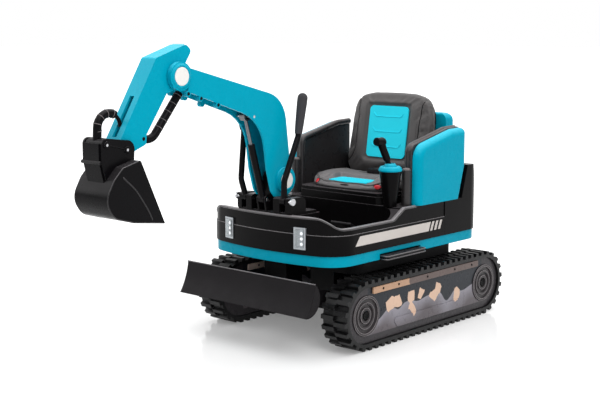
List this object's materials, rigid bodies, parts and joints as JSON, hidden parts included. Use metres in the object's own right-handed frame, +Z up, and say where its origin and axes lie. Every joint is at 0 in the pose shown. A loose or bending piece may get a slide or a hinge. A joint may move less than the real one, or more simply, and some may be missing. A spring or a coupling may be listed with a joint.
{
  "type": "ride_on_digger",
  "caption": "Child's ride-on tracked digger with a slewing seat house, lever-worked boom, stick and bucket, and a small dozer blade",
  "frame": {"origin": "on the ground under the middle of the bounding box", "axes": "+Z up, -Y forwards towards the bucket, +X to the driver's left"},
  "size_m": [0.58, 1.4152, 0.854],
  "materials": {
    "black_shell": "moulded black plastic with a fine grain and soft sheen",
    "blade_black": "moulded black plastic, matt",
    "teal_shell": "moulded teal plastic, satin gloss",
    "teal_insert": "light teal moulded insert, satin",
    "seat_grey": "dark grey leather-like skin with fine grain",
    "camo_print": "glossy plastic with a camouflage print",
    "belt_rubber": "black rubber, worn on the lugs",
    "hub_grey": "dark grey moulded plastic",
    "bare_steel": "plated steel",
    "link_black": "black moulded plastic, half gloss",
    "grip_rubber": "soft dark grey rubber",
    "strap_web": "black woven webbing",
    "buckle_black": "black plastic buckle",
    "lamp_silver": "plated reflector tray",
    "lamp_clear": "clear lens over three light points",
    "cap_white": "white plastic pin cap",
    "inner_grey": "plain grey plastic"
  },
  "bodies": {
    "undercarriage": {"chassis_frame": "black_shell", "chassis_deck": "black_shell", "king_bolt": "bare_steel", "track_panels": "camo_print", "track_covers": "camo_print", "track_belt_left": "belt_rubber", "track_belt_right": "belt_rubber", "side_rails": "camo_print", "axle_rods": "bare_steel", "drive_motors": "inner_grey"},
    "idler_left": {"idler_wheel_left": "hub_grey"},
    "idler_right": {"idler_wheel_right": "hub_grey"},
    "drive_left": {"drive_wheel_left": "hub_grey"},
    "drive_right": {"drive_wheel_right": "hub_grey"},
    "blade": {"dozer_blade": "blade_black", "blade_arms": "blade_black"},
    "house": {"house_floor": "black_shell", "slew_ring": "bare_steel", "house_skirt": "teal_shell", "house_tub": "black_shell", "footwell_pan": "black_shell", "counterweight": "black_shell", "rear_hood": "teal_shell", "side_liners": "black_shell", "engine_covers": "teal_shell", "seat_box": "black_shell", "seat_pad": "seat_grey", "seat_insert": "teal_insert", "backrest_shell": "black_shell", "backrest_pad": "seat_grey", "backrest_insert": "teal_insert", "belt_strap": "strap_web", "belt_buckle": "buckle_black", "lamp_housings": "lamp_silver", "lamp_lenses": "lamp_clear", "boom_bracket": "black_shell", "house_pins": "bare_steel", "joystick_cup": "black_shell", "joystick_ring": "teal_shell", "side_steps": "black_shell", "battery": "inner_grey", "control_box": "inner_grey"},
    "boom_arm": {"boom": "teal_shell", "boom_pins": "bare_steel", "pivot_caps": "cap_white"},
    "stick_arm": {"stick": "teal_shell"},
    "stick_rod": {"stick_link": "link_black"},
    "bucket": {"bucket_shell": "link_black", "bucket_bracket": "link_black", "bucket_pins": "bare_steel"},
    "bucket_rod": {"bucket_link": "link_black"},
    "left_lever": {"lever_left": "link_black", "grip_left": "grip_rubber"},
    "right_lever": {"lever_right": "link_black", "grip_right": "grip_rubber"},
    "strut_lower": {"strut_barrel": "link_black"},
    "strut_upper": {"strut_rod": "bare_steel"},
    "gimbal": {"joystick_gimbal": "bare_steel"},
    "joystick": {"joystick_handle": "link_black"},
    "pedal": {"foot_pedal": "link_black"}
  },
  "joints": [
    {"name": "slew", "type": "hinge", "parent": "undercarriage", "child": "house", "pos_m": [0, 0.31409, 0.237], "axis": [0, 0, 1], "continuous": true},
    {"name": "blade_lift", "type": "hinge", "parent": "undercarriage", "child": "blade", "pos_m": [0, 0.08809, 0.12], "axis": [1, 0, 0], "range_deg": [0, 24]},
    {"name": "drive_left_spin", "type": "hinge", "parent": "undercarriage", "child": "drive_left", "pos_m": [0.24, 0.60759, 0.1], "axis": [1, 0, 0], "continuous": true},
    {"name": "idler_left_spin", "type": "hinge", "parent": "undercarriage", "child": "idler_left", "pos_m": [0.24, 0.02059, 0.1], "axis": [1, 0, 0], "continuous": true},
    {"name": "drive_right_spin", "type": "hinge", "parent": "undercarriage", "child": "drive_right", "pos_m": [-0.24, 0.60759, 0.1], "axis": [1, 0, 0], "continuous": true},
    {"name": "idler_right_spin", "type": "hinge", "parent": "undercarriage", "child": "idler_right", "pos_m": [-0.24, 0.02059, 0.1], "axis": [1, 0, 0], "continuous": true},
    {"name": "boom_lift", "type": "hinge", "parent": "house", "child": "boom_arm", "pos_m": [0, -0.04591, 0.468], "axis": [1, 0, 0], "range_deg": [-8, 42]},
    {"name": "stick_swing", "type": "hinge", "parent": "boom_arm", "child": "stick_arm", "pos_m": [0, -0.44191, 0.773], "axis": [1, 0, 0], "range_deg": [-10, 42]},
    {"name": "bucket_curl", "type": "hinge", "parent": "stick_arm", "child": "bucket", "pos_m": [0, -0.61991, 0.598], "axis": [1, 0, 0], "range_deg": [-30, 36]},
    {"name": "stick_link_turn", "type": "hinge", "parent": "stick_arm", "child": "stick_rod", "pos_m": [0, -0.55791, 0.62], "axis": [1, 0, 0], "range_deg": [-42.5, 10.5]},
    {"name": "bucket_link_turn", "type": "hinge", "parent": "bucket", "child": "bucket_rod", "pos_m": [0, -0.68391, 0.614], "axis": [1, 0, 0], "range_deg": [-27.5, 23]},
    {"name": "strut_tilt", "type": "hinge", "parent": "house", "child": "strut_lower", "pos_m": [0, -0.09691, 0.415], "axis": [1, 0, 0], "range_deg": [-7.94, 39.56]},
    {"name": "strut_slide", "type": "slide", "parent": "strut_lower", "child": "strut_upper", "axis": [0, -0.2848, 0.9586], "range_m": [-0.0517, 0.0103]},
    {"name": "lever_left_tilt", "type": "hinge", "parent": "house", "child": "left_lever", "pos_m": [0.075, -0.08991, 0.415], "axis": [1, 0, 0], "range_deg": [-5, 19.4]},
    {"name": "lever_right_tilt", "type": "hinge", "parent": "house", "child": "right_lever", "pos_m": [-0.075, -0.08991, 0.415], "axis": [1, 0, 0], "range_deg": [-16.7, 14]},
    {"name": "joystick_pitch", "type": "hinge", "parent": "house", "child": "gimbal", "pos_m": [0.195, 0.23909, 0.487], "axis": [1, 0, 0], "range_deg": [-12, 12], "stiffness_Nm_per_rad": 0.8},
    {"name": "joystick_roll", "type": "hinge", "parent": "gimbal", "child": "joystick", "pos_m": [0.195, 0.23909, 0.487], "axis": [0, 1, 0], "range_deg": [-12, 12], "stiffness_Nm_per_rad": 0.8},
    {"name": "pedal_press", "type": "hinge", "parent": "house", "child": "pedal", "pos_m": [0.104, 0.19609, 0.292], "axis": [1, 0, 0], "range_deg": [0, 12], "stiffness_Nm_per_rad": 1.5, "springref_deg": -6.88}
  ],
  "couplings": [
    {"joint": "idler_left_spin", "follows": "drive_left_spin", "ratio": 1},
    {"joint": "idler_right_spin", "follows": "drive_right_spin", "ratio": 1},
    {"joint": "stick_link_turn", "follows": "stick_swing", "ratio": -1},
    {"joint": "bucket_link_turn", "follows": "bucket_curl", "ratio": -0.75},
    {"joint": "strut_tilt", "follows": "boom_lift", "ratio": 0.93},
    {"joint": "strut_slide", "follows": "boom_lift", "m_per_rad": -0.0699},
    {"joint": "lever_left_tilt", "follows": "stick_swing", "ratio": 0.45},
    {"joint": "lever_right_tilt", "follows": "bucket_curl", "ratio": -0.45}
  ]
}
